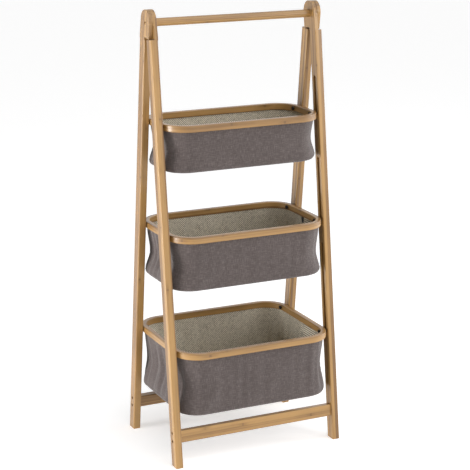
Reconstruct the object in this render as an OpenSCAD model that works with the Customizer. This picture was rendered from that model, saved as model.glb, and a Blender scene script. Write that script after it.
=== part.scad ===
// Folding A-frame storage rack: two hinged leg frames carry three fabric baskets on bentwood rings.
// Front is -Y, the feet stand on Z = 0, and every length is in millimetres.

/* [Frame] */
// Overall width across the outer faces of the legs
rack_w = 420; // [330:1:520]
// Height of the top hinge axis above the floor
hinge_h = 990; // [850:1:1200]
// Lean of the front legs from upright, in degrees
front_lean = 7.0; // [5:0.1:8]
// Lean of the rear legs from upright, in degrees
rear_lean = 6.4; // [5:0.1:8]
// Thickness of a leg, across the rack
leg_t = 17.5; // [15:0.5:24]
// Width of a leg, front to back
leg_w = 27.5; // [22:0.5:34]
// Rounding along the edges of the legs and crossbars
edge_r = 2.5; // [0.5:0.1:4]
// Distance from the hinge axis to the near edge of each leg
leg_gap = 0.7; // [0.5:0.1:2]

/* [Hinge head] */
// Radius of the rounded head
head_r = 25; // [20:0.5:30]
// How far the centre of the rounding stands above the hinge axis
head_rise = 4; // [0:0.5:8]
// Depth of the tongue below the hinge axis
tongue_drop = 32; // [26:0.5:40]
// Play left under a tongue when the rack is open
shoulder_play = 0.9; // [0.5:0.1:3]
// Thickness of the washer between the two tongues
hinge_washer_t = 0.5; // [0.4:0.1:1.5]

/* [Bars] */
// Diameter of the round top bar
dowel_d = 18; // [14:0.5:24]
// Depth of the socket that the top bar sits in
dowel_socket = 3; // [2:0.5:4]
// Height of the crossbars, along the leg
bar_h = 28; // [24:0.5:40]
// Thickness of the crossbars
bar_t = 17.5; // [14:0.5:20]
// Height of the middle of the crossbars above the floor
bar_z = 69; // [50:1:90]

/* [Baskets] */
// Height of the top ring's upper face
top_z = 772; // [740:1:790]
// Height of the middle ring's upper face
middle_z = 527; // [500:1:550]
// Height of the bottom ring's upper face
bottom_z = 266; // [255:1:290]
// Depth of the top basket, ring included
top_drop = 108; // [80:1:120]
// Depth of the middle basket, ring included
middle_drop = 127; // [90:1:140]
// Depth of the bottom basket, ring included
bottom_drop = 151; // [100:1:155]
// Reach of a ring past the middle of each leg
ring_reach = 49.5; // [40:0.5:60]
// Outer radius of the ring's corners
ring_r = 60; // [40:1:64]
// Height of a ring
ring_h = 15; // [14:0.5:22]
// Thickness of the outer band
outer_t = 6; // [5:0.1:8]
// Thickness of the inner band
inner_t = 6; // [5:0.1:8]
// Rounding along the edges of the bands
band_r = 1.6; // [0.5:0.1:2]
// Gap between a ring and a leg's inner face
ring_gap = 1.5; // [1:0.1:4]

/* [Slots] */
// Width of the slots in the front legs that the baskets' front pins slide in
slot_w = 11; // [8:0.5:12]
// Depth of the slots
slot_depth = 9.5; // [6:0.5:11]
// Length of slot left above a pin when the rack is folded
slot_spare = 5; // [1:0.5:8]
// Play between a slide pin and its slot, all round
slot_play = 0.5; // [0.3:0.1:1]
// Gap between a ring and the slide pin beside it
pin_split = 0.3; // [0.2:0.1:0.8]

/* [Cloth] */
// Height of the cloth edge clamped between the bands
clamp_h = 4; // [3:0.1:5]
// Thickness of the outer cloth
cloth_t = 1.0; // [0.8:0.1:1.6]
// Thickness of the lining
lining_t = 0.9; // [0.6:0.1:1.4]
// Thickness of the stiff base board
board_t = 3; // [2:0.1:5]
// Width of the pull tab
tab_w = 10; // [6:0.5:20]
// Length of the pull tab
tab_l = 15; // [8:0.5:25]
// Thickness of the pull tab's webbing
tab_t = 1.2; // [0.8:0.1:2]

/* [Fasteners] */
// Diameter of a wood screw's shank
screw_d = 4; // [3:0.1:5]
// Diameter of a wood screw's head
screw_head_d = 6.6; // [6:0.1:8]
// Height of a wood screw's head
screw_head_h = 2.5; // [2:0.1:3]
// Depth of the counterbores that sink the screw heads
sink_depth = 4.5; // [3.5:0.1:5.5]
// Length of a screw below its head
screw_l = 42; // [30:1:60]
// Spacing of the two screws in each end of a crossbar
screw_pitch = 19.5; // [14:0.5:20]
// Diameter of the bolts that the baskets swing on
bolt_d = 5; // [4:0.1:5.5]
// Diameter of a bolt's head
bolt_head_d = 9; // [8:0.1:11]
// Height of a bolt's head
bolt_head_h = 2.4; // [1.5:0.1:3]
// Depth that the bolts reach into a rear leg
leg_bite = 11; // [8:0.5:13]
// Radial clearance of a shank in its hole
shank_play = 0.05; // [0.02:0.01:0.1]
// Gap round and behind a fastener's head
head_play = 0.3; // [0.2:0.05:0.6]
// Diameter of the washer between the two tongues
hinge_washer_d = 16; // [12:0.5:20]
// Diameter of the spacer between a ring and its leg
spacer_d = 12; // [10:0.5:13]
// Width of the hexagon socket in a bolt's head
socket_w = 3.4; // [2.5:0.1:4]
// Depth of the hexagon socket
socket_depth = 1.4; // [0.8:0.1:1.5]

/* [Hidden] */
$fn = 72;

bamboo = [0.76, 0.60, 0.39];
bamboo_light = [0.85, 0.70, 0.50];
cloth_grey = [0.42, 0.38, 0.37];
lining_grey = [0.55, 0.54, 0.50];
board_grey = [0.45, 0.44, 0.41];
steel = [0.62, 0.62, 0.62];
black = [0.06, 0.06, 0.06];

in_x = rack_w / 2 - leg_t;                 // inner face of the legs
tongue_t = (leg_t - hinge_washer_t) / 2;   // thickness of one tongue
leg_u = leg_gap + leg_w / 2;               // hinge axis to the middle of a leg, square to it
open_angle = front_lean + rear_lean;

// The corner of a tongue swings down towards the other leg's shoulder as the rack opens.
tongue_u = head_r - 1;
corner_len = sqrt(tongue_u * tongue_u + tongue_drop * tongue_drop);
shoulder_drop = corner_len * cos(atan(tongue_u / tongue_drop) - open_angle) + shoulder_play;

ring_x = in_x - ring_gap;
pin_drop = ring_h / 2;                     // bolt axis below the ring's upper face
slit = cloth_t + lining_t + 0.4;           // room for the cloth between the bands
bag_in = outer_t + 0.2;
lining_in = bag_in + cloth_t + 0.1;
cloth_in = lining_in + lining_t;

// Middle of a leg front to back at height z, measured from the hinge axis.
function front_y(z) = -leg_u / cos(front_lean) - tan(front_lean) * (hinge_h - z);
function rear_y(z) = leg_u / cos(rear_lean) + tan(rear_lean) * (hinge_h - z);
// A ring is centred between the legs at its bolts and reaches past each of them.
// Both are rounded to a tenth of a millimetre, as a maker would cut them.
function tenth(x) = round(10 * x) / 10;
function ring_mid(z) = tenth((front_y(z - pin_drop) + rear_y(z - pin_drop)) / 2);
function ring_half(z) =
    tenth((rear_y(z - pin_drop) - front_y(z - pin_drop)) / 2 + ring_reach);

// The hinge axis stands so that the footprint is centred on Y = 0.
low_y = min(ring_mid(bottom_z) - ring_half(bottom_z), front_y(0) - leg_w / 2 / cos(front_lean));
high_y = max(ring_mid(bottom_z) + ring_half(bottom_z), rear_y(0) + leg_w / 2 / cos(rear_lean));
hinge_y = tenth(-(low_y + high_y) / 2);

tiers = [[top_z, top_drop], [middle_z, middle_drop], [bottom_z, bottom_drop]];

// Rounded square with its lower left corner at the origin.
module rounded(w, h, r) {
    translate([r, 0]) square([w - 2 * r, h]);
    translate([0, r]) square([w, h - 2 * r]);
    for (x = [r, w - r], y = [r, h - r]) translate([x, y]) circle(r);
}

// Outline of a ring, inset by d.
module outline(z, d) {
    a = ring_x - d;
    b = ring_half(z) - d;
    r = ring_r - d;
    translate([-a, -b]) rounded(2 * a, 2 * b, r);
}

// Carries a profile round a ring. The profile's X = 0 is the outer edge.
module around(z) {
    a = ring_x;
    b = ring_half(z);
    r = ring_r;
    for (s = [0, 180]) rotate([0, 0, s]) {
        translate([a, b - r, 0]) rotate([90, 0, 0]) linear_extrude(2 * (b - r)) children();
        translate([a - r, b, 0]) rotate([90, 0, 90])
            mirror([0, 0, 1]) linear_extrude(2 * (a - r)) children();
        for (e = [0, 1]) mirror([e, 0, 0]) translate([a - r, b - r, 0])
            rotate_extrude(angle = 90) translate([r, 0]) children();
    }
}

module at_ring(z) { translate([0, hinge_y + ring_mid(z), 0]) children(); }

// Repeats a piece on both sides of the rack.
module both_sides() {
    children();
    mirror([1, 0, 0]) children();
}

// Straight rod along X from x0 to x1.
module rod(x0, x1, d) { translate([x0, 0, 0]) rotate([0, 90, 0]) cylinder(h = x1 - x0, d = d); }

// Places a piece in a leaning frame: X across, Y square to the legs, Z along them, hinge at zero.
module in_front() { translate([0, hinge_y, hinge_h]) rotate([-front_lean, 0, 0]) children(); }
module in_rear() { translate([0, hinge_y, hinge_h]) rotate([rear_lean, 0, 0]) children(); }
function front_v(z) = -(hinge_h - z) / cos(front_lean) - leg_u * tan(front_lean);
function rear_v(z) = -(hinge_h - z) / cos(rear_lean) - leg_u * tan(rear_lean);

// Side outline of a head. side is -1 for a leg in front of the hinge and 1 for one behind it.
module head_outline(side) {
    edge = leg_gap + leg_w;
    translate([0, head_rise]) circle(head_r);
    polygon([[side * leg_gap, -shoulder_drop - 1], [side * edge, -shoulder_drop - 1],
        [side * edge, -tongue_drop], [side * head_r, head_rise],
        [-side * head_r, head_rise], [-side * tongue_u, -tongue_drop],
        [side * leg_gap, -tongue_drop]]);
}

// Right-hand leg in its leaning frame: full shaft below the shoulder and a half-thick tongue above.
module leg(side, tongue_x) {
    long = hinge_h / cos(max(front_lean, rear_lean)) + 2 * leg_w;
    translate([in_x, side > 0 ? leg_gap : -leg_gap - leg_w, -long])
        linear_extrude(long - shoulder_drop) rounded(leg_t, leg_w, edge_r);
    translate([tongue_x, 0, 0]) rotate([90, 0, 90]) linear_extrude(tongue_t) head_outline(side);
}

// Distance between a ring's front and rear pins.
function pin_span(z) = rear_y(z - pin_drop) - front_y(z - pin_drop);
// How far a front pin slides up its leg by the time the legs lie together.
function slide(z) = sqrt(pow(pin_span(z), 2) - pow(2 * leg_u, 2))
    + rear_v(z - pin_drop) - front_v(z - pin_drop);

// Slot in a front leg's inner face, from the pin's place when open to its place when folded.
module slot(z) {
    low = front_v(z - pin_drop);
    high = low + slide(z) + slot_spare;
    translate([in_x - 1, 0, 0]) rotate([90, 0, 90]) linear_extrude(slot_depth + 1) {
        for (v = [low, high]) translate([-leg_u, v]) circle(d = slot_w);
        translate([-leg_u - slot_w / 2, low]) square([slot_w, high - low]);
    }
}

// Places of the pins that a ring hangs on.
module front_pin(z) { translate([0, hinge_y + front_y(z - pin_drop), z - pin_drop]) children(); }
module rear_pin(z) { translate([0, hinge_y + rear_y(z - pin_drop), z - pin_drop]) children(); }

module below_floor() { translate([-rack_w, -rack_w, -200]) cube([2 * rack_w, 2 * rack_w, 200]); }

// Two screw axes of a crossbar end, in the leaning frame.
module screw_axes(side, v) {
    for (s = [-0.5, 0.5]) translate([0, side * leg_u, v + s * screw_pitch]) children();
}

// Hole and sink of a screw that enters a leg's outer face at x.
module screw_hole(x) {
    rod(0, x + 1, screw_d + 2 * shank_play);
    rod(x - sink_depth, x + 1, screw_head_d + 2 * head_play);
}

module wood_screw(x) {
    rod(x - sink_depth - screw_l, x - sink_depth + 0.1, screw_d);
    difference() {
        rod(x - sink_depth, x - sink_depth + screw_head_h, screw_head_d);
        // crossed driver recess
        translate([x - sink_depth + screw_head_h - 0.6, 0, 0]) {
            cube([2.6, 3.6, 0.8], center = true);
            cube([2.6, 0.8, 3.6], center = true);
        }
    }
}

module front_leg_right() {
    color(bamboo) difference() {
        in_front() difference() {
            leg(-1, in_x);
            rod(0, rack_w, screw_d + 2 * shank_play);
            rod(in_x - 1, in_x + dowel_socket, dowel_d + 0.1);
            screw_axes(-1, front_v(bar_z)) screw_hole(rack_w / 2);
            for (t = tiers) slot(t[0]);
        }
        below_floor();
    }
}

module rear_leg_right() {
    color(bamboo) difference() {
        in_rear() difference() {
            leg(1, rack_w / 2 - tongue_t);
            screw_hole(rack_w / 2);
            screw_axes(1, rear_v(bar_z)) screw_hole(rack_w / 2);
        }
        below_floor();
        for (t = tiers) rear_pin(t[0])
            rod(in_x - 1, in_x + leg_bite, bolt_d + 2 * shank_play);
    }
}

module front_leg_left() { mirror([1, 0, 0]) front_leg_right(); }
module rear_leg_left() { mirror([1, 0, 0]) rear_leg_right(); }

module crossbar(side, v) {
    difference() {
        translate([-in_x, side * leg_u - bar_t / 2, v - bar_h / 2]) rotate([90, 0, 90])
            linear_extrude(2 * in_x) rounded(bar_t, bar_h, edge_r);
        both_sides() screw_axes(side, v) rod(in_x - screw_l, in_x + 1, screw_d + 2 * shank_play);
    }
}

module front_crossbar() { color(bamboo) in_front() crossbar(-1, front_v(bar_z)); }
module rear_crossbar() { color(bamboo) in_rear() crossbar(1, rear_v(bar_z)); }

module top_bar() {
    reach = in_x + dowel_socket;
    color(bamboo) translate([0, hinge_y, hinge_h]) difference() {
        rod(-reach, reach, dowel_d);
        both_sides() rod(reach - screw_l, reach + 1, screw_d + 2 * shank_play);
    }
}

module hinge_screws() {
    color(steel) translate([0, hinge_y, hinge_h]) both_sides() wood_screw(rack_w / 2);
}

module hinge_washers() {
    color(steel) translate([0, hinge_y, hinge_h]) both_sides() difference() {
        rod(in_x + tongue_t, in_x + tongue_t + hinge_washer_t, hinge_washer_d);
        rod(in_x, in_x + leg_t, screw_d + 2 * shank_play);
    }
}

module front_crossbar_screws() {
    color(steel) in_front() both_sides() screw_axes(-1, front_v(bar_z)) wood_screw(rack_w / 2);
}
module rear_crossbar_screws() {
    color(steel) in_rear() both_sides() screw_axes(1, rear_v(bar_z)) wood_screw(rack_w / 2);
}

inner_face = ring_x - outer_t - inner_t;
// Bolt through the side of a ring, from its head inside the ring out to x = tip.
module ring_bolt(tip) {
    difference() {
        union() {
            rod(inner_face - bolt_seat, tip, bolt_d);
            rod(inner_face - bolt_seat - bolt_head_h, inner_face - bolt_seat, bolt_head_d);
        }
        translate([inner_face - bolt_seat - bolt_head_h - 1, 0, 0]) rotate([0, 90, 0])
            cylinder(h = 1 + socket_depth, d = socket_w / cos(30), $fn = 6);
    }
}

// Bolts that the rings turn on, screwed into the rear legs.
module basket_bolts() {
    color(steel) both_sides() for (t = tiers) rear_pin(t[0]) ring_bolt(in_x + leg_bite);
}
// Bolts in the front of each ring, which end at its outer face.
module front_bolts(z) { color(steel) both_sides() front_pin(z) ring_bolt(ring_x); }
// Outer ends of the front pins, which slide in the slots.
module slide_pins(z) {
    color(steel) both_sides() front_pin(z)
        rod(ring_x + pin_split, in_x + slot_depth - slot_play, slot_w - 2 * slot_play);
}
// The ring starts to turn its corner there, so the head stands a little inboard of its side.
bolt_turn = max(0, ring_r - ring_reach + bolt_head_d / 2);
inner_r = ring_r - outer_t - inner_t;
bolt_seat = head_play + inner_r - sqrt(inner_r * inner_r - bolt_turn * bolt_turn);

module basket_spacers() {
    color(steel) both_sides() for (t = tiers) rear_pin(t[0]) difference() {
        rod(ring_x, in_x, spacer_d);
        rod(ring_x - 1, in_x + 1, bolt_d + 2 * shank_play);
    }
}

// Holes through the sides of a ring for its four bolts.
module ring_holes(z) {
    both_sides() {
        front_pin(z) rod(inner_face - 9, in_x, bolt_d + 2 * shank_play);
        rear_pin(z) rod(inner_face - 9, in_x, bolt_d + 2 * shank_play);
    }
}

// What a rounding takes off a square corner at the origin. sx and sy point into the material.
module corner_cut(sx, sy) {
    difference() {
        translate([sx > 0 ? -1 : -band_r, sy > 0 ? -1 : -band_r]) square(band_r + 1);
        translate([sx * band_r, sy * band_r]) circle(band_r);
    }
}

module outer_band(z) {
    color(bamboo_light) difference() {
        at_ring(z) difference() {
            translate([0, 0, z - ring_h]) linear_extrude(ring_h) difference() {
                outline(z, 0);
                outline(z, outer_t);
            }
            for (s = [1, -1]) translate([0, 0, z]) around(z)
                translate([0, s > 0 ? 0 : -ring_h]) corner_cut(-1, -s);
        }
        ring_holes(z);
    }
}

module inner_band(z) {
    edge = outer_t + inner_t;
    color(bamboo_light) difference() {
        at_ring(z) difference() {
            translate([0, 0, z - ring_h]) linear_extrude(ring_h) difference() {
                outline(z, outer_t);
                outline(z, edge);
            }
            // room for the clamped cloth
            translate([0, 0, z - ring_h - 1]) linear_extrude(clamp_h + 1) difference() {
                outline(z, outer_t - 1);
                outline(z, outer_t + slit);
            }
            for (s = [1, -1]) translate([0, 0, z]) around(z)
                translate([-edge, s > 0 ? 0 : -ring_h]) corner_cut(1, -s);
        }
        ring_holes(z);
    }
}

module shell(z, d, t, z0, z1, floor_t) {
    at_ring(z) translate([0, 0, z0]) difference() {
        linear_extrude(z1 - z0) outline(z, d);
        translate([0, 0, floor_t]) linear_extrude(z1 - z0) outline(z, d + t);
    }
}

module bag(z, drop) {
    color(cloth_grey) shell(z, bag_in, cloth_t, z - drop, z - ring_h + clamp_h - 0.2, cloth_t);
}
module lining(z, drop) {
    color(lining_grey)
        shell(z, lining_in, lining_t, z - drop + cloth_t, z - ring_h + clamp_h - 0.2, lining_t);
}
module base_board(z, drop) {
    low = z - drop + cloth_t + lining_t + 0.3;
    color(board_grey) at_ring(z) translate([0, 0, low])
        linear_extrude(board_t) outline(z, outer_t + inner_t + 0.5);
}

module top_front_bolts() { front_bolts(top_z); }
module middle_front_bolts() { front_bolts(middle_z); }
module bottom_front_bolts() { front_bolts(bottom_z); }
module top_slide_pins() { slide_pins(top_z); }
module middle_slide_pins() { slide_pins(middle_z); }
module bottom_slide_pins() { slide_pins(bottom_z); }
module top_outer_band() { outer_band(top_z); }
module top_inner_band() { inner_band(top_z); }
module top_bag() { bag(top_z, top_drop); }
module top_lining() { lining(top_z, top_drop); }
module top_base_board() { base_board(top_z, top_drop); }
module middle_outer_band() { outer_band(middle_z); }
module middle_inner_band() { inner_band(middle_z); }
module middle_bag() { bag(middle_z, middle_drop); }
module middle_lining() { lining(middle_z, middle_drop); }
module middle_base_board() { base_board(middle_z, middle_drop); }
module bottom_outer_band() { outer_band(bottom_z); }
module bottom_inner_band() { inner_band(bottom_z); }
module bottom_bag() { bag(bottom_z, bottom_drop); }
module bottom_lining() { lining(bottom_z, bottom_drop); }
module bottom_base_board() { base_board(bottom_z, bottom_drop); }

// Webbing tab sewn to the lining, hanging just under the inner band.
module middle_pull_tab() {
    color(black) at_ring(middle_z)
        translate([ring_x - cloth_in - tab_t, -tab_w / 2, middle_z - ring_h - tab_l])
            cube([tab_t, tab_w, tab_l - 0.2]);
}

front_leg_left();
front_leg_right();
rear_leg_left();
rear_leg_right();
front_crossbar();
rear_crossbar();
top_bar();
hinge_screws();
hinge_washers();
front_crossbar_screws();
rear_crossbar_screws();
basket_bolts();
basket_spacers();
top_front_bolts();
middle_front_bolts();
bottom_front_bolts();
top_slide_pins();
middle_slide_pins();
bottom_slide_pins();
top_outer_band();
top_inner_band();
top_bag();
top_lining();
top_base_board();
middle_outer_band();
middle_inner_band();
middle_bag();
middle_lining();
middle_base_board();
middle_pull_tab();
bottom_outer_band();
bottom_inner_band();
bottom_bag();
bottom_lining();
bottom_base_board();
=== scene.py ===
import bpy, bmesh, math
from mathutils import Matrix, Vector


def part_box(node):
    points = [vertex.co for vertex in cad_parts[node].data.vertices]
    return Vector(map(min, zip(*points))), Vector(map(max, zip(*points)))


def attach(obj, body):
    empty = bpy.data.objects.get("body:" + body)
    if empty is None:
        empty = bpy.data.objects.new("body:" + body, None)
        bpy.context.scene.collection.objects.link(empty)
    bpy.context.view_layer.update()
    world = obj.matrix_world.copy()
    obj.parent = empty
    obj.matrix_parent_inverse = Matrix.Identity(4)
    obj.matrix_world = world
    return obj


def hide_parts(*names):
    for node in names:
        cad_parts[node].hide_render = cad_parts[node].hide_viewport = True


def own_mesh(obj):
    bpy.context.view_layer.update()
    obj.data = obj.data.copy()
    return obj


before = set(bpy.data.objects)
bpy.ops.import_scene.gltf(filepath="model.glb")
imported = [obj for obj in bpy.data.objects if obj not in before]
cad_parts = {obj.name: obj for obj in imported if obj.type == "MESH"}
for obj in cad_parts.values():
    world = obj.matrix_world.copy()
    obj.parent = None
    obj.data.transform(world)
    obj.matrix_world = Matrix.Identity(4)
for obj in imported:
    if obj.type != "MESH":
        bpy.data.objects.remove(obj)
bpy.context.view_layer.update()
print("frame loaded:", len(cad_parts), "pieces")


# small helpers for shader trees

class Tree:
    # writes a node tree with short calls
    def __init__(self, tree):
        self.tree = tree

    def node(self, kind, values=None, **settings):
        n = self.tree.nodes.new(kind)
        for key, value in settings.items():
            setattr(n, key, value)
        for key, value in (values or {}).items():
            self.feed(n.inputs[key], value)
        return n

    def feed(self, socket, value):
        if isinstance(value, bpy.types.NodeSocket):
            self.tree.links.new(value, socket)
        else:
            socket.default_value = value

    def math(self, operation, *values):
        n = self.tree.nodes.new("ShaderNodeMath")
        n.operation = operation
        for i, value in enumerate(values):
            self.feed(n.inputs[i], value)
        return n.outputs[0]

    def vector(self, x, y, z):
        return self.node("ShaderNodeCombineXYZ", {0: x, 1: y, 2: z}).outputs[0]

    def split(self, vector):
        return self.node("ShaderNodeSeparateXYZ", {0: vector}).outputs

    def mix(self, factor, a, b, blend="MIX"):
        n = self.node("ShaderNodeMix", data_type="RGBA", blend_type=blend)
        for socket, value in ((n.inputs[0], factor), (n.inputs[6], a), (n.inputs[7], b)):
            self.feed(socket, value)
        return n.outputs[2]

    def remap(self, value, low, high, toLow=0.0, toHigh=1.0):
        return self.node("ShaderNodeMapRange", {0: value, 1: low, 2: high, 3: toLow, 4: toHigh},
                         interpolation_type="SMOOTHSTEP").outputs[0]

    def noise(self, vector, scale=1.0, detail=3.0):
        return self.node("ShaderNodeTexNoise",
                         {"Vector": vector, "Scale": scale, "Detail": detail}).outputs[0]


def newGroup(name, inputs, outputs):
    tree = bpy.data.node_groups.new(name, "ShaderNodeTree")
    for label, kind, value in inputs:
        s = tree.interface.new_socket(name=label, in_out="INPUT", socket_type="NodeSocket" + kind)
        if value is not None:
            s.default_value = value
    for label, kind in outputs:
        tree.interface.new_socket(name=label, in_out="OUTPUT", socket_type="NodeSocket" + kind)
    t = Tree(tree)
    return t, t.node("NodeGroupInput").outputs, t.node("NodeGroupOutput").inputs


def placeGroup(t, name, values):
    n = t.tree.nodes.new("ShaderNodeGroup")
    n.node_tree = bpy.data.node_groups[name]
    for key, value in values.items():
        t.feed(n.inputs[key], value)
    return n.outputs


def newMaterial(name, **fixed):
    m = bpy.data.materials.new(name)
    m.use_nodes = True
    m.node_tree.nodes.clear()
    t = Tree(m.node_tree)
    shader = t.node("ShaderNodeBsdfPrincipled")
    for key, value in fixed.items():
        shader.inputs[key.replace("_", " ")].default_value = value
    t.feed(t.node("ShaderNodeOutputMaterial").inputs[0], shader.outputs[0])
    return m, t, shader


# shared effects

# Bamboo laid up from strips. The grain runs along Z of the vector, in metres.
t, i, o = newGroup("bambooGrain",
                   [("Vector", "Vector", None), ("Strip Width", "Float", 0.0062),
                    ("Knot Spacing", "Float", 0.26), ("Seed", "Float", 0.0),
                    ("Pale", "Color", (0.62, 0.41, 0.21, 1)), ("Deep", "Color", (0.42, 0.24, 0.10, 1)),
                    ("Knot", "Color", (0.20, 0.10, 0.04, 1))],
                   [("Color", "Color"), ("Roughness", "Float"), ("Height", "Float")])
x, y, z = t.split(i["Vector"])
stripX = t.math("FLOOR", t.math("DIVIDE", t.math("ADD", x, 0.5), i["Strip Width"]))
stripY = t.math("FLOOR", t.math("DIVIDE", t.math("ADD", y, 0.5), i["Strip Width"]))
# each strip gets its own shade and its own knots
lot = t.node("ShaderNodeTexWhiteNoise", {0: t.vector(stripX, stripY, i["Seed"])},
             noise_dimensions="3D").outputs[0]
shade = t.noise(t.vector(t.math("MULTIPLY", x, 9), t.math("MULTIPLY", y, 9),
                         t.math("ADD", t.math("MULTIPLY", z, 2.2), i["Seed"])), 3.0, 2)
fibre = t.noise(t.vector(t.math("MULTIPLY", x, 950), t.math("MULTIPLY", y, 950),
                         t.math("MULTIPLY", z, 9)), 1.0, 4)
streak = t.noise(t.vector(t.math("MULTIPLY", x, 210), t.math("MULTIPLY", y, 210),
                          t.math("MULTIPLY", z, 3)), 1.0, 3)
place = t.math("ADD", t.math("DIVIDE", z, i["Knot Spacing"]), t.math("MULTIPLY", lot, 7.31))
knotLot = t.node("ShaderNodeTexWhiteNoise", {0: t.vector(t.math("FLOOR", place), lot, i["Seed"])},
                 noise_dimensions="3D").outputs[0]
fromKnot = t.math("ABSOLUTE", t.math("SUBTRACT", t.math("FRACT", place), 0.5))
fromKnot = t.math("MULTIPLY", fromKnot, i["Knot Spacing"])
knot = t.math("MULTIPLY", t.remap(fromKnot, 0.0034, 0.0006), t.remap(knotLot, 0.55, 0.85))
glow = t.math("MULTIPLY", t.remap(fromKnot, 0.018, 0.003), t.remap(knotLot, 0.45, 0.75))
mixer = t.math("ADD", t.math("MULTIPLY", lot, 0.34),
               t.math("ADD", t.math("MULTIPLY", shade, 0.42), t.math("MULTIPLY", streak, 0.42)))
colour = t.mix(t.remap(mixer, 0.37, 0.82), i["Pale"], i["Deep"])
colour = t.mix(t.math("MULTIPLY", t.remap(fibre, 0.56, 0.74), 0.22), colour, i["Deep"])
colour = t.mix(t.math("MULTIPLY", glow, 0.40), colour, i["Deep"])
colour = t.mix(t.math("MULTIPLY", knot, 0.45), colour, i["Knot"])
t.feed(o["Color"], colour)
t.feed(o["Roughness"], t.math("ADD", 0.40, t.math("MULTIPLY", fibre, 0.16)))
t.feed(o["Height"], t.math("SUBTRACT", t.math("MULTIPLY", fibre, 0.5), t.math("MULTIPLY", knot, 0.5)))

# Turns a point on a ring into grain coordinates: across the band, up, and round it.
t, i, o = newGroup("ringCoordinates",
                   [("Vector", "Vector", None), ("Middle Y", "Float", 0.0), ("Half X", "Float", 0.19),
                    ("Half Y", "Float", 0.1), ("Corner", "Float", 0.06)], [("Vector", "Vector")])
x, y, z = t.split(i["Vector"])
ry = t.math("SUBTRACT", y, i["Middle Y"])
qx = t.math("SUBTRACT", t.math("ABSOLUTE", x), t.math("SUBTRACT", i["Half X"], i["Corner"]))
qy = t.math("SUBTRACT", t.math("ABSOLUTE", ry), t.math("SUBTRACT", i["Half Y"], i["Corner"]))
px, py = t.math("MAXIMUM", qx, 0.0), t.math("MAXIMUM", qy, 0.0)
length = t.math("SQRT", t.math("ADD", t.math("MULTIPLY", px, px), t.math("MULTIPLY", py, py)))
across = t.math("ADD", length, t.math("MINIMUM", t.math("MAXIMUM", qx, qy), 0.0))
turn = t.math("ARCTAN2", t.math("DIVIDE", ry, i["Half Y"]), t.math("DIVIDE", x, i["Half X"]))
t.feed(o["Vector"], t.vector(across, z, t.math("MULTIPLY", turn, 0.17)))

# Plain weave with thick and thin threads. The vector is in metres along and up the cloth.
t, i, o = newGroup("linenWeave",
                   [("Vector", "Vector", None), ("Pitch", "Float", 0.0008), ("Slub", "Float", 0.5),
                    ("Seed", "Float", 0.0)],
                   [("Tone", "Float"), ("Height", "Float")])
x, y, z = t.split(i["Vector"])
u = t.math("DIVIDE", x, i["Pitch"])
v = t.math("DIVIDE", y, i["Pitch"])
warp = t.math("ABSOLUTE", t.math("SINE", t.math("MULTIPLY", u, math.pi)))
weft = t.math("ABSOLUTE", t.math("SINE", t.math("MULTIPLY", v, math.pi)))
over = t.math("MODULO", t.math("ADD", t.math("FLOOR", u), t.math("FLOOR", v)), 2.0)
over = t.math("ABSOLUTE", over)
thread = t.node("ShaderNodeMix", {0: over, 2: warp, 3: weft}, data_type="FLOAT").outputs[0]
slubAcross = t.noise(t.vector(t.math("MULTIPLY", x, 70), t.math("MULTIPLY", y, 620), i["Seed"]), 1.0, 3)
slubUp = t.noise(t.vector(t.math("MULTIPLY", x, 620), t.math("MULTIPLY", y, 80), i["Seed"]), 1.0, 3)
slub = t.math("ADD", t.remap(slubAcross, 0.42, 0.68), t.remap(slubUp, 0.42, 0.68))
t.feed(o["Tone"], t.math("ADD", t.math("MULTIPLY", slub, i["Slub"]), t.math("MULTIPLY", thread, 0.30)))
t.feed(o["Height"], t.math("ADD", thread, t.math("MULTIPLY", slub, 0.35)))


# materials

bamboo = {"pale": (0.43, 0.238, 0.070, 1), "deep": (0.190, 0.092, 0.022, 1), "knot": (0.10, 0.045, 0.013, 1),
          "strip": 0.0062, "knotSpacing": 0.27, "bump": 0.14, "edge": 0.0009}


def bambooMaterial(name, turn=(0, 0, 0), seed=0.0, ring=None):
    # turn brings the grain upright; ring gives middle Y, half X, half Y and corner radius
    m, t, shader = newMaterial(name, Coat_Weight=0.55, Coat_Roughness=0.24, IOR=1.48)
    point = t.node("ShaderNodeTexCoord").outputs["Object"]
    if ring:
        point = placeGroup(t, "ringCoordinates", {"Vector": point, "Middle Y": ring[0], "Half X": ring[1],
                                                  "Half Y": ring[2], "Corner": ring[3]})[0]
    else:
        point = t.node("ShaderNodeMapping", {"Vector": point, "Rotation": turn}).outputs[0]
    grain = placeGroup(t, "bambooGrain", {"Vector": point, "Strip Width": bamboo["strip"], "Seed": seed,
                                          "Knot Spacing": bamboo["knotSpacing"], "Pale": bamboo["pale"],
                                          "Deep": bamboo["deep"], "Knot": bamboo["knot"]})
    t.feed(shader.inputs["Base Color"], grain["Color"])
    t.feed(shader.inputs["Roughness"], grain["Roughness"])
    soft = t.node("ShaderNodeBevel", {"Radius": bamboo["edge"]}, samples=4)
    bump = t.node("ShaderNodeBump", {"Strength": bamboo["bump"], "Distance": 0.0004,
                                     "Height": grain["Height"], "Normal": soft.outputs[0]})
    t.feed(shader.inputs["Normal"], bump.outputs[0])
    return m


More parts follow.
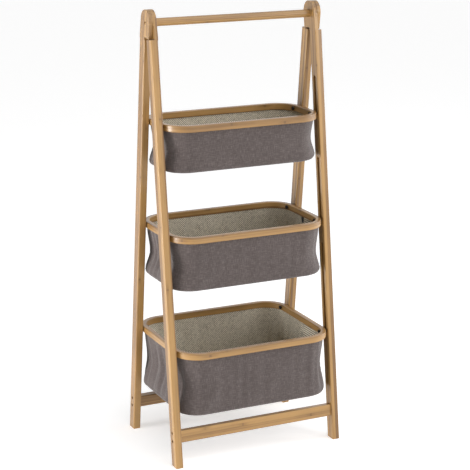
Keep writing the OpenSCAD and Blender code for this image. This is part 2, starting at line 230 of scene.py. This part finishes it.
def clothMaterial(name, dark, light, pitch, slub, seed, sheen=0.25):
    m, t, shader = newMaterial(name, Sheen_Weight=sheen, Sheen_Roughness=0.6, Specular_IOR_Level=0.12)
    spot = t.node("ShaderNodeUVMap", uv_map="weave").outputs[0]
    weave = placeGroup(t, "linenWeave", {"Vector": spot, "Pitch": pitch, "Slub": slub, "Seed": seed})
    cloud = t.noise(t.node("ShaderNodeTexCoord").outputs["Object"], 14.0, 2)
    tone = t.math("ADD", weave["Tone"], t.math("MULTIPLY", t.math("SUBTRACT", cloud, 0.5), 0.5))
    t.feed(shader.inputs["Base Color"], t.mix(t.remap(tone, 0.1, 1.2), dark, light))
    t.feed(shader.inputs["Roughness"], t.remap(tone, 0.0, 1.2, 0.96, 0.82))
    bump = t.node("ShaderNodeBump", {"Strength": 0.35, "Distance": 0.00025, "Height": weave["Height"]})
    t.feed(shader.inputs["Normal"], bump.outputs[0])
    return m


def liningMaterial(name, dark, light, pitch, seed):
    # fine check: pale dots where threads cross, on a grey-green ground
    m, t, shader = newMaterial(name, Sheen_Weight=0.15, Sheen_Roughness=0.6, Specular_IOR_Level=0.12)
    spot = t.node("ShaderNodeUVMap", uv_map="weave").outputs[0]
    x, y = t.split(spot)[:2]
    u = t.math("SINE", t.math("MULTIPLY", x, 2 * math.pi / pitch))
    v = t.math("SINE", t.math("MULTIPLY", y, 2 * math.pi / pitch))
    # each cell gets its own strength
    cell = t.vector(t.math("FLOOR", t.math("DIVIDE", x, pitch / 2)),
                    t.math("FLOOR", t.math("DIVIDE", y, pitch / 2)), seed)
    lot = t.node("ShaderNodeTexWhiteNoise", {0: cell}, noise_dimensions="3D").outputs[0]
    check = t.math("MULTIPLY", t.remap(t.math("MULTIPLY", u, v), -0.35, 0.55),
                   t.math("ADD", 0.55, t.math("MULTIPLY", lot, 0.9)))
    weave = placeGroup(t, "linenWeave", {"Vector": spot, "Pitch": pitch / 4, "Slub": 0.4, "Seed": seed})
    tone = t.math("ADD", t.math("MULTIPLY", check, 0.75), t.math("MULTIPLY", weave["Tone"], 0.4))
    t.feed(shader.inputs["Base Color"], t.mix(t.remap(tone, 0.08, 0.86), dark, light))
    t.feed(shader.inputs["Roughness"], t.remap(tone, 0.0, 1.2, 0.95, 0.85))
    bump = t.node("ShaderNodeBump", {"Strength": 0.3, "Distance": 0.0003, "Height": tone})
    t.feed(shader.inputs["Normal"], bump.outputs[0])
    return m


def steelMaterial(name, colour):
    m, t, shader = newMaterial(name, Metallic=1.0, Base_Color=colour)
    point = t.node("ShaderNodeTexCoord").outputs["Object"]
    x, y, z = t.split(point)
    rub = t.noise(t.vector(t.math("MULTIPLY", x, 300), t.math("MULTIPLY", y, 2500),
                           t.math("MULTIPLY", z, 2500)))
    t.feed(shader.inputs["Roughness"], t.remap(rub, 0.2, 0.8, 0.26, 0.46))
    bump = t.node("ShaderNodeBump", {"Strength": 0.1, "Distance": 0.0001, "Height": rub})
    t.feed(shader.inputs["Normal"], bump.outputs[0])
    return m


def webbingMaterial(name):
    m, t, shader = newMaterial(name, Sheen_Weight=0.3, Specular_IOR_Level=0.2)
    point = t.node("ShaderNodeTexCoord").outputs["Object"]
    y, z = t.split(point)[1:]
    rib = t.math("SINE", t.math("MULTIPLY", t.math("ADD", z, t.math("MULTIPLY", y, 0.6)), 5200))
    t.feed(shader.inputs["Base Color"],
           t.mix(t.remap(rib, -1, 1), (0.004, 0.004, 0.005, 1), (0.022, 0.020, 0.022, 1)))
    t.feed(shader.inputs["Roughness"], t.remap(rib, -1, 1, 0.85, 0.7))
    bump = t.node("ShaderNodeBump", {"Strength": 0.5, "Distance": 0.0003, "Height": rib})
    t.feed(shader.inputs["Normal"], bump.outputs[0])
    return m


def dress(node, material):
    # a CAD piece keeps its mesh and gets the material in every slot
    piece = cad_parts[node]
    for slot in piece.material_slots:
        slot.material = material
    if not piece.material_slots:
        piece.data.materials.append(material)


tierNames = ["top", "middle", "bottom"]


# the legs' grain follows their lean
lean = {"front": math.radians(7.0), "rear": math.radians(-6.4)}
ringCorner = 0.06
for side, seed in (("left", 1.3), ("right", 5.9)):
    for end, shift in (("front", 0.0), ("rear", 2.7)):
        name = "bamboo" + end.title() + "Leg" + side.title()
        dress(end + "_leg_" + side, bambooMaterial(name, (lean[end], 0, 0), seed + shift))
dress("front_crossbar", bambooMaterial("bambooFrontBar", (0, math.pi / 2, 0), 11.1))
dress("rear_crossbar", bambooMaterial("bambooRearBar", (0, math.pi / 2, 0), 14.7))
dress("top_bar", bambooMaterial("bambooTopBar", (0, math.pi / 2, 0), 17.2))
for k, tier in enumerate(tierNames):
    low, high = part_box(tier + "_outer_band")
    ring = ((low.y + high.y) / 2, (high.x - low.x) / 2, (high.y - low.y) / 2, ringCorner)
    dress(tier + "_outer_band", bambooMaterial("bambooOuterBand" + tier.title(), ring=ring, seed=21 + k))
    dress(tier + "_inner_band", bambooMaterial("bambooInnerBand" + tier.title(), ring=ring, seed=31 + k))
steel = steelMaterial("platedSteel", (0.46, 0.45, 0.43, 1))
# the crossbar screws, the bolts and the slide pins are dark
blackened = steelMaterial("blackenedSteel", (0.045, 0.040, 0.036, 1))
for node in ("hinge_screws", "hinge_washers", "basket_spacers"):
    dress(node, steel)
for node in ("front_crossbar_screws", "rear_crossbar_screws", "basket_bolts"):
    dress(node, blackened)
for tier in tierNames:
    dress(tier + "_front_bolts", blackened)
    dress(tier + "_slide_pins", blackened)
dress("middle_pull_tab", webbingMaterial("blackWebbing"))
print("wood and metal dressed")

cloths = {
    "outer": {"dark": (0.077, 0.060, 0.056, 1), "light": (0.138, 0.111, 0.105, 1), "pitch": 0.0009,
              "slub": 0.50, "seed": 3.0},
    "lining": {"dark": (0.28, 0.245, 0.185, 1), "light": (0.92, 0.85, 0.70, 1), "pitch": 0.0048, "seed": 7.0},
    "board": {"dark": (0.23, 0.20, 0.16, 1), "light": (0.74, 0.68, 0.56, 1), "pitch": 0.0048, "seed": 9.0},
}
outerCloth = clothMaterial("greyBrownCloth", **cloths["outer"])
innerCloth = liningMaterial("checkLining", **cloths["lining"])
boardCloth = liningMaterial("boardLining", **cloths["board"])
threadMaterial = newMaterial("sewingThread", Base_Color=(0.10, 0.085, 0.080, 1), Roughness=0.8)[0]


# baskets

def roundedOutline(halfX, halfY, corner, count):
    # Points, outward normals and run length round a rounded rectangle, from the middle of the right side.
    # Known fault: the four sides are walked once only, so the points of the last half side all repeat the
    # front right corner, and one straight step closes the outline from there.
    straightX, straightY = 2 * (halfX - corner), 2 * (halfY - corner)
    arc = math.pi / 2 * corner
    total = 2 * straightX + 2 * straightY + 4 * arc
    out = []
    for k in range(count):
        s = total * k / count
        r = s + straightY / 2
        for side in range(4):
            straight = straightY if side % 2 == 0 else straightX
            if r < straight:
                d = (r - straight / 2)
                base = [(halfX, d), (-d, halfY), (-halfX, -d), (d, -halfY)][side]
                normal = [(1, 0), (0, 1), (-1, 0), (0, -1)][side]
                break
            r -= straight
            if r < arc:
                a = r / corner + side * math.pi / 2
                cx = (halfX - corner) * (1, -1, -1, 1)[side]
                cy = (halfY - corner) * (1, 1, -1, -1)[side]
                base = (cx + corner * math.cos(a), cy + corner * math.sin(a))
                normal = (math.cos(a), math.sin(a))
                break
            r -= arc
        out.append((base, normal, s))
    return out, total


def smooth(a, b, v):
    q = min(1.0, max(0.0, (v - a) / (b - a)))
    return q * q * (3 - 2 * q)


# what changes from basket to basket, in metres
bagShape = {
    "columns": 340, "rows": 44, "cornerRadius": 0.0538, "clothThick": 0.0010,
    "liningThick": 0.0008, "liningInset": 0.0013, "footRound": 0.0075, "baseRings": 9, "sag": 0.0006,
    "top": {"waist": 0.0068, "bulge": 0.0034, "folds": 0.0008, "seed": 0.4, "endLift": 0.004},
    "middle": {"waist": 0.0075, "bulge": 0.0058, "folds": 0.0022, "seed": 2.1, "endLift": 0.004},
    "bottom": {"waist": 0.0080, "bulge": 0.0036, "folds": 0.0034, "seed": 4.6, "endLift": 0.005},
}


def wallOffset(tier, nx, ny, x, s, f):
    # how far the wall stands out at run s and depth f, 0 at the ring and 1 at the base
    shape = bagShape[tier]
    end = abs(nx) ** 1.5                                     # 1 on the short ends, 0 front and back
    hang = math.sin(math.pi * min(1.0, f * 1.02)) ** 1.3
    out = -shape["waist"] * end * (smooth(0.0, 0.5, f) - smooth(0.5, 0.92, f))
    out -= 0.0014 * (1 - end) * hang
    out += shape["bulge"] * end * smooth(0.55, 0.93, f)
    seed = shape["seed"]
    # upright folds, strongest on the ends and near the corners
    strength = shape["folds"] * (0.22 + 0.9 * end) * math.sin(math.pi * min(1, f)) ** 0.8
    wave = (math.sin(s * 205 + seed * 3 + 2.2 * math.sin(s * 31 + seed)) * 0.6
            + math.sin(s * 118 + seed * 7 + 1.6 * f) * 0.5 + math.sin(s * 331 + seed) * 0.2)
    out += strength * wave
    # slow unevenness of the whole wall
    out += 0.0009 * math.sin(s * 23 + seed * 5 + 2.5 * f) * math.sin(math.pi * f)
    # a slack crease that runs down to the front left corner
    if ny < 0 and x < 0:
        d = (x + 0.118) * 0.78 + (f - 0.70) * 0.075
        reach = smooth(0.35, 0.8, f) * (1 - smooth(0.9, 1, f))
        out += shape["folds"] * 0.75 * math.exp(-(d / 0.010) ** 2) * reach
    return out


def endRise(tier, x, f):
    # the right end of the base turns up a little
    return bagShape[tier]["endLift"] * smooth(0.16, 0.19, x) * smooth(0.8, 1.0, f) * 0.9


def makeShell(name, tier, node, inset, thick, material):
    # cloth wall and base hung from the ring; the lining is the same shape, inset
    low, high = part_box(node)
    midY, halfX, halfY = (low.y + high.y) / 2, (high.x - low.x) / 2, (high.y - low.y) / 2
    columns, rows = bagShape["columns"], bagShape["rows"]
    line, total = roundedOutline(halfX, halfY, bagShape["cornerRadius"], columns)
    topZ, baseZ = high.z, low.z + inset
    depth = topZ - baseZ
    edge = bagShape["footRound"]                             # rounding where wall meets base
    mesh, verts, uvs, faces = bmesh.new(), [], [], []
    for j in range(rows + 1):
        f = j / rows
        for (bx, by), (nx, ny), s in line:
            out = wallOffset(tier, nx, ny, bx, s, f) - inset     # both cloths share one set of folds
            z = topZ - depth * f
            fall = z - baseZ
            if fall < edge:
                out -= edge - math.sqrt(max(0.0, edge * edge - (edge - fall) ** 2))
            z += endRise(tier, bx, f)
            verts.append(mesh.verts.new((bx + nx * out, midY + by + ny * out, z)))
            uvs.append((s, -depth * f))
    # base closes in towards the middle
    rings = bagShape["baseRings"]
    last = [v.co.copy() for v in verts[-columns:]]
    for r in range(1, rings):
        q = 1 - r / rings
        for k, p in enumerate(last):
            sag = bagShape["sag"] * math.sin(math.pi * r / rings)
            x, y = p.x * q, midY + (p.y - midY) * q
            verts.append(mesh.verts.new((x, y, baseZ + endRise(tier, x + edge, 1.0) - sag)))
            uvs.append((x, y))
    tip = mesh.verts.new((0, midY, baseZ))
    for j in range(rows + rings - 1):
        for k in range(columns):
            n = (k + 1) % columns
            a, b = verts[j * columns + k], verts[j * columns + n]
            c, d = verts[(j + 1) * columns + n], verts[(j + 1) * columns + k]
            faces.append((mesh.faces.new((a, d, c, b)), j, k))
    endRow = (rows + rings - 1) * columns
    for k in range(columns):
        mesh.faces.new((verts[endRow + k], tip, verts[endRow + (k + 1) % columns]))
    layer = mesh.loops.layers.uv.new("weave")
    mesh.verts.index_update()
    for face in mesh.faces:
        pts = [(uvs[v.index] if v.index < len(uvs) else (0.0, midY)) for v in face.verts]
        onBase = any(v.index >= (rows + 1) * columns for v in face.verts)
        for loop, (pu, pv) in zip(face.loops, pts):
            if onBase:
                pu, pv = loop.vert.co.x, loop.vert.co.y
            elif max(p[0] for p in pts) - min(p[0] for p in pts) > total / 2 and pu < total / 2:
                pu += total
            loop[layer].uv = (pu, pv)
        face.smooth = True
    bmesh.ops.recalc_face_normals(mesh, faces=mesh.faces)
    data = bpy.data.meshes.new(name)
    mesh.to_mesh(data)
    mesh.free()
    # outward is away from the basket's middle
    side = data.polygons[columns // 2]
    if Vector((side.center.x, side.center.y - midY, 0)).dot(side.normal) < 0:
        data.flip_normals()
    piece = bpy.data.objects.new(name, data)
    bpy.context.scene.collection.objects.link(piece)
    data.materials.append(material)
    wall = piece.modifiers.new("clothThickness", "SOLIDIFY")
    wall.thickness, wall.offset = thick, -1
    bpy.context.view_layer.objects.active = piece
    graph = bpy.context.evaluated_depsgraph_get()
    solid = bpy.data.meshes.new_from_object(piece.evaluated_get(graph))
    piece.modifiers.clear()
    piece.data = solid
    return piece


boardShape = {"endGap": 0.0050, "sideGap": 0.0004, "corner": 0.044, "points": 220, "bevel": 0.0012,
              "bevelDrop": 0.0013, "skin": 0.0002, "fans": 10}


def makeBoard(name, node, material):
    # stiff base under lining cloth, with soft edges and a shallow crown
    low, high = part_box(node)
    midY = (low.y + high.y) / 2
    # shorter than the bag, so that the waisted ends clear it when the basket is folded
    line = roundedOutline((high.x - low.x) / 2 - boardShape["endGap"],
                          (high.y - low.y) / 2 - boardShape["sideGap"],
                          boardShape["corner"], boardShape["points"])[0]
    bevel, drop, skin, fans = (boardShape[key] for key in ("bevel", "bevelDrop", "skin", "fans"))
    mesh = bmesh.new()
    profile = [(bevel, low.z + skin), (0.0, low.z + drop), (0.0, high.z - drop), (bevel, high.z - skin)]
    loops = []
    for inset, z in profile:
        loops.append([mesh.verts.new((bx - nx * inset, midY + by - ny * inset, z))
                      for (bx, by), (nx, ny), s in line])
    for r in range(1, fans):
        q = 1 - r / fans
        loops.append([mesh.verts.new((bx * q, midY + by * q,
                                      high.z - skin + skin * math.sin(bx * 40) * r / fans))
                      for (bx, by), n, s in line])
    for a, b in zip(loops, loops[1:]):
        for k in range(len(a)):
            n = (k + 1) % len(a)
            mesh.faces.new((a[k], a[n], b[n], b[k]))
    tip = mesh.verts.new((0, midY, high.z - skin))
    under = mesh.verts.new((0, midY, low.z + skin))
    for k in range(len(loops[0])):
        n = (k + 1) % len(loops[0])
        mesh.faces.new((loops[-1][k], loops[-1][n], tip))
        mesh.faces.new((loops[0][n], loops[0][k], under))
    layer = mesh.loops.layers.uv.new("weave")
    for face in mesh.faces:
        face.smooth = True
        for loop in face.loops:
            loop[layer].uv = (loop.vert.co.x, loop.vert.co.y + loop.vert.co.z)
    bmesh.ops.recalc_face_normals(mesh, faces=mesh.faces)
    data = bpy.data.meshes.new(name)
    mesh.to_mesh(data)
    mesh.free()
    piece = bpy.data.objects.new(name, data)
    bpy.context.scene.collection.objects.link(piece)
    data.materials.append(material)
    return piece


# stitches, laid along a seam by geometry nodes

def stitchTree():
    tree = bpy.data.node_groups.new("stitchRow", "GeometryNodeTree")
    sockets = {}
    tree.interface.new_socket(name="Geometry", in_out="INPUT", socket_type="NodeSocketGeometry")
    for label, value in (("Stitch Length", 0.0026), ("Gap", 0.0042), ("Thread", 0.00038)):
        s = tree.interface.new_socket(name=label, in_out="INPUT", socket_type="NodeSocketFloat")
        s.default_value = value
        sockets[label] = s.identifier
    s = tree.interface.new_socket(name="Material", in_out="INPUT", socket_type="NodeSocketMaterial")
    sockets["Material"] = s.identifier
    tree.interface.new_socket(name="Geometry", in_out="OUTPUT", socket_type="NodeSocketGeometry")
    g = Tree(tree)
    start = g.node("NodeGroupInput").outputs
    curve = g.node("GeometryNodeMeshToCurve", {0: start["Geometry"]})
    points = g.node("GeometryNodeCurveToPoints", {"Curve": curve.outputs[0], "Length": start["Gap"]},
                    mode="LENGTH")
    line = g.node("GeometryNodeCurvePrimitiveLine",
                  {"Direction": (0, 0, 1), "Length": start["Stitch Length"]}, mode="DIRECTION")
    loop = g.node("GeometryNodeCurvePrimitiveCircle", {"Resolution": 6, "Radius": start["Thread"]},
                  mode="RADIUS")
    body = g.node("GeometryNodeCurveToMesh", {"Curve": line.outputs[0], "Profile Curve": loop.outputs[0],
                                              "Fill Caps": True})
    spread = g.node("GeometryNodeInstanceOnPoints", {"Points": points.outputs[0], "Instance": body.outputs[0],
                                                     "Rotation": points.outputs["Rotation"]})
    real = g.node("GeometryNodeRealizeInstances", {0: spread.outputs[0]})
    paint = g.node("GeometryNodeSetMaterial", {0: real.outputs[0], "Material": start["Material"]})
    g.feed(g.node("NodeGroupOutput").inputs[0], paint.outputs[0])
    return tree, sockets


stitchNodes, stitchSockets = stitchTree()
seams = {"stitchLength": 0.0026, "gap": 0.0042, "thread": 0.00032, "aboveBase": 0.0105,
         "pathPoints": 600, "standOff": 0.0001}


def makeStitches(name, path, closed):
    data = bpy.data.meshes.new(name + "Path")
    edges = [(k, k + 1) for k in range(len(path) - 1)] + ([(len(path) - 1, 0)] if closed else [])
    data.from_pydata([tuple(p) for p in path], edges, [])
    carrier = bpy.data.objects.new(name, data)
    bpy.context.scene.collection.objects.link(carrier)
    row = carrier.modifiers.new("stitchRow", "NODES")
    row.node_group = stitchNodes
    row[stitchSockets["Stitch Length"]] = seams["stitchLength"]
    row[stitchSockets["Gap"]] = seams["gap"]
    row[stitchSockets["Thread"]] = seams["thread"]
    row[stitchSockets["Material"]] = threadMaterial
    bpy.context.view_layer.update()
    made = bpy.data.meshes.new_from_object(carrier.evaluated_get(bpy.context.evaluated_depsgraph_get()))
    carrier.modifiers.clear()
    carrier.data = made
    return carrier


for tier in tierNames:
    body = tier + "_basket"
    bagLow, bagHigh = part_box(tier + "_bag")
    bag = makeShell(tier + "BagCloth", tier, tier + "_bag", 0.0, bagShape["clothThick"], outerCloth)
    lining = makeShell(tier + "LiningCloth", tier, tier + "_bag", bagShape["liningInset"],
                       bagShape["liningThick"], innerCloth)
    board = makeBoard(tier + "BaseBoard", tier + "_base_board", boardCloth)
    # a row of stitches round the foot of the bag
    line = roundedOutline((bagHigh.x - bagLow.x) / 2, (bagHigh.y - bagLow.y) / 2,
                          bagShape["cornerRadius"], seams["pathPoints"])[0]
    midY = (bagLow.y + bagHigh.y) / 2
    depth = bagHigh.z - bagLow.z
    f = 1 - seams["aboveBase"] / depth
    path = []
    for (bx, by), (nx, ny), s in line:
        out = wallOffset(tier, nx, ny, bx, s, f) + seams["standOff"]
        path.append((bx + nx * out, midY + by + ny * out, bagHigh.z - depth * f + endRise(tier, bx, f)))
    stitches = makeStitches(tier + "FootStitches", path, True)
    for piece, slotName in ((bag, "cloth"), (lining, "lining"), (stitches, "cloth")):
        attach(piece, body)
        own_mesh(piece)
    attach(board, tier + "_board")
    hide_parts(tier + "_bag")
    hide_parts(tier + "_lining")
    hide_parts(tier + "_base_board")


# room, light and camera

room = {"floorSize": 60.0, "floorColour": (0.90, 0.90, 0.90, 1), "floorGlow": 0.44, "world": 0.08,
        "mirrored": 1.1, "skylight": 1.7, "skyAngle": 75, "skyTurn": (26, 10, 0)}
floorMesh = bmesh.new()
bmesh.ops.create_grid(floorMesh, x_segments=1, y_segments=1, size=room["floorSize"] / 2)
floorData = bpy.data.meshes.new("paleFloor")
floorMesh.to_mesh(floorData)
floorMesh.free()
floor = bpy.data.objects.new("paleFloor", floorData)
bpy.context.scene.collection.objects.link(floor)
# the floor glows a little, which keeps it pale out to the horizon
floorMaterial, t, shader = newMaterial("paleFloorPaint", Base_Color=room["floorColour"], Roughness=0.9,
                                       Specular_IOR_Level=0.1, Emission_Color=(1, 1, 1, 1),
                                       Emission_Strength=room["floorGlow"])
floorData.materials.append(floorMaterial)

world = bpy.data.worlds.new("studio")
bpy.context.scene.world = world
world.use_nodes = True
w = Tree(world.node_tree)
seen = w.node("ShaderNodeLightPath").outputs["Is Camera Ray"]
w.feed(world.node_tree.nodes["Background"].inputs[0], (1.0, 1.0, 1.0, 1))
mirrored = w.node("ShaderNodeLightPath").outputs["Is Glossy Ray"]
strength = w.math("ADD", room["world"], w.math("MULTIPLY", seen, 1.0 - room["world"]))
strength = w.math("ADD", strength, w.math("MULTIPLY", mirrored, room["mirrored"] - room["world"]))
w.feed(world.node_tree.nodes["Background"].inputs[1], strength)


def softLight(name, place, aim, size, power):
    lamp = bpy.data.lights.new(name, "AREA")
    lamp.shape, lamp.size, lamp.energy = "SQUARE", size, power
    obj = bpy.data.objects.new(name, lamp)
    bpy.context.scene.collection.objects.link(obj)
    obj.location = place
    obj.rotation_euler = (Vector(aim) - Vector(place)).to_track_quat("-Z", "Y").to_euler()


lamps = {
    "keyRight": {"place": (2.2, -2.9, 1.6), "aim": (0, 0, 0.5), "size": 1.2, "power": 27},
    "frontFill": {"place": (0, -3.6, 1.4), "aim": (0, 0, 0.5), "size": 1.6, "power": 16},
    "sideRight": {"place": (3.3, -0.6, 1.0), "aim": (0, 0, 0.5), "size": 1.2, "power": 46},
    "lowLeft": {"place": (-2.4, 0.2, 0.35), "aim": (0, 0, 0.2), "size": 0.9, "power": 56},
}
for name, lamp in lamps.items():
    softLight(name, **lamp)
skylight = bpy.data.lights.new("skylight", "SUN")
skylight.energy, skylight.angle = room["skylight"], math.radians(room["skyAngle"])
above = bpy.data.objects.new("skylight", skylight)
bpy.context.scene.collection.objects.link(above)
above.rotation_euler = [math.radians(turn) for turn in room["skyTurn"]]

view = {"place": (-1.4592, -3.1000, 1.4224), "target": (0.0074, 0.0053, 0.4861), "lens": 117.5}
camData = bpy.data.cameras.new("camera")
camData.lens, camData.sensor_width = view["lens"], 36.0
camData.clip_end = 100
camera = bpy.data.objects.new("camera", camData)
bpy.context.scene.collection.objects.link(camera)
camera.location = view["place"]
camera.rotation_euler = (Vector(view["target"]) - Vector(view["place"])).to_track_quat("-Z", "Y").to_euler()
bpy.context.scene.camera = camera
bpy.context.scene.view_settings.view_transform = "Standard"

print("scene ready")
